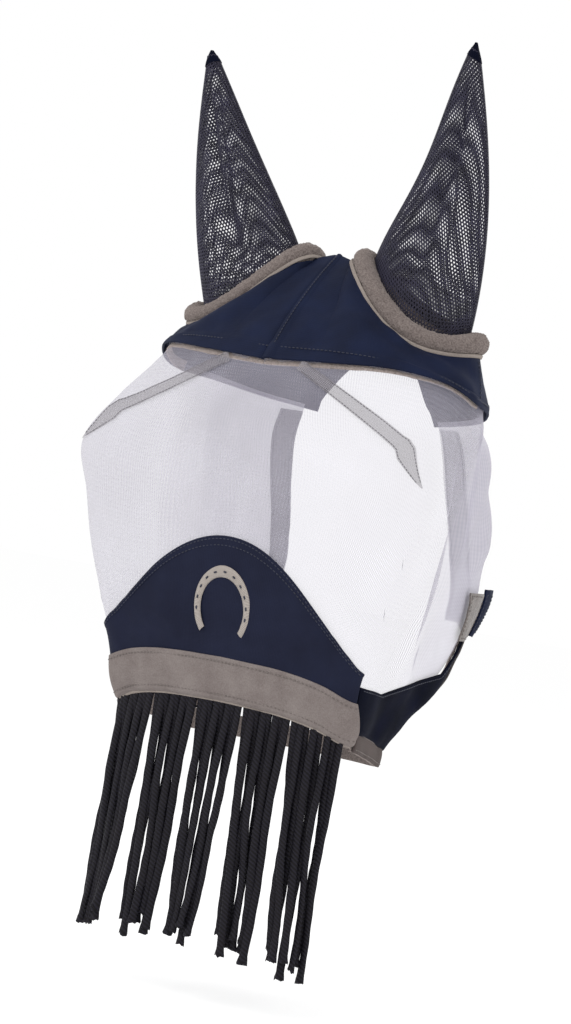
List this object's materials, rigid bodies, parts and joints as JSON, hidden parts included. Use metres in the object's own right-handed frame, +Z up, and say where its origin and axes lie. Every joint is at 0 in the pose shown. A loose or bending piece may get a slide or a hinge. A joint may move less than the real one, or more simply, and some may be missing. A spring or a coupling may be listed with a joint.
{
  "type": "horse fly mask",
  "caption": "Horse fly mask with a see-through face net, net ears in fleece rings, a padded brow and nose panel, and a braided nose fringe.",
  "frame": {"origin": "top of the poll between the ears, where the mask rests on the head", "axes": "+Z up, the horse looks along -Y, +X towards the left side of the horse"},
  "size_m": [0.3367, 0.2811, 0.7803],
  "materials": {
    "softshell": "matte woven",
    "ear_net": "open knitted net",
    "face_net": "fine see-through net",
    "fleece": "short pile",
    "brushed_tape": "brushed",
    "dart_tape": "sheer woven tape",
    "thread": "satin stitch",
    "braid": "braided",
    "touch_tape": "hook and loop"
  },
  "bodies": {
    "root": {"brow_panel_left": "softshell", "brow_panel_right": "softshell", "poll_panel_left": "softshell", "poll_panel_right": "softshell", "ear_ring_left": "fleece", "ear_ring_right": "fleece", "brow_centre_seam": "softshell", "brow_lining_left": "fleece", "brow_lining_right": "fleece", "front_net": "face_net", "cheek_net_left": "face_net", "cheek_net_right": "face_net", "cheek_tape_left": "softshell", "cheek_tape_right": "softshell", "dart_tape_left": "dart_tape", "dart_tape_right": "dart_tape", "nose_panel": "softshell", "nose_emblem": "thread", "nose_band": "brushed_tape", "nose_lining": "fleece", "jaw_panel_left": "softshell", "jaw_panel_right": "softshell", "jaw_binding_left": "softshell", "jaw_binding_right": "softshell", "chin_strap": "brushed_tape", "ear_collar_front_left": "ear_net", "ear_collar_back_left": "ear_net", "ear_collar_front_right": "ear_net", "ear_collar_back_right": "ear_net", "closure_loop_patch": "touch_tape"},
    "ear_left": {"ear_front_left": "ear_net", "ear_back_left": "ear_net", "ear_tip_left": "softshell"},
    "ear_right": {"ear_front_right": "ear_net", "ear_back_right": "ear_net", "ear_tip_right": "softshell"},
    "closure_flap": {"closure_flap": "softshell", "closure_hook_patch": "touch_tape"},
    "fringe_1": {"fringe_section_1": "braid"},
    "fringe_2": {"fringe_section_2": "braid"},
    "fringe_3": {"fringe_section_3": "braid"},
    "fringe_4": {"fringe_section_4": "braid"},
    "fringe_5": {"fringe_section_5": "braid"}
  },
  "joints": [
    {"name": "ear_left_tilt", "type": "hinge", "parent": "root", "child": "ear_left", "pos_m": [0.0864, -0.0028, -0.0072], "axis": [0.8684, 0.1451, -0.4742], "range_deg": [-12, 12], "stiffness_Nm_per_rad": 0.3},
    {"name": "ear_right_tilt", "type": "hinge", "parent": "root", "child": "ear_right", "pos_m": [-0.0861, -0.0024, -0.0086], "axis": [0.8684, -0.1451, 0.4742], "range_deg": [-12, 12], "stiffness_Nm_per_rad": 0.3},
    {"name": "closure_flap_fold", "type": "hinge", "parent": "root", "child": "closure_flap", "pos_m": [0.1141, 0.13669, -0.2846], "axis": [0, 0, 1], "range_deg": [-120, 15]},
    {"name": "fringe_1_swing", "type": "hinge", "parent": "root", "child": "fringe_1", "pos_m": [-0.0896, -0.07397, -0.39317], "axis": [1, 0, 0], "range_deg": [-30, 10]},
    {"name": "fringe_2_swing", "type": "hinge", "parent": "root", "child": "fringe_2", "pos_m": [-0.0448, -0.08137, -0.38974], "axis": [1, 0, 0], "range_deg": [-30, 10]},
    {"name": "fringe_3_swing", "type": "hinge", "parent": "root", "child": "fringe_3", "pos_m": [0, -0.08308, -0.38924], "axis": [1, 0, 0], "range_deg": [-30, 10]},
    {"name": "fringe_4_swing", "type": "hinge", "parent": "root", "child": "fringe_4", "pos_m": [0.0448, -0.08134, -0.38974], "axis": [1, 0, 0], "range_deg": [-30, 10]},
    {"name": "fringe_5_swing", "type": "hinge", "parent": "root", "child": "fringe_5", "pos_m": [0.0896, -0.0741, -0.39317], "axis": [1, 0, 0], "range_deg": [-30, 10]}
  ]
}
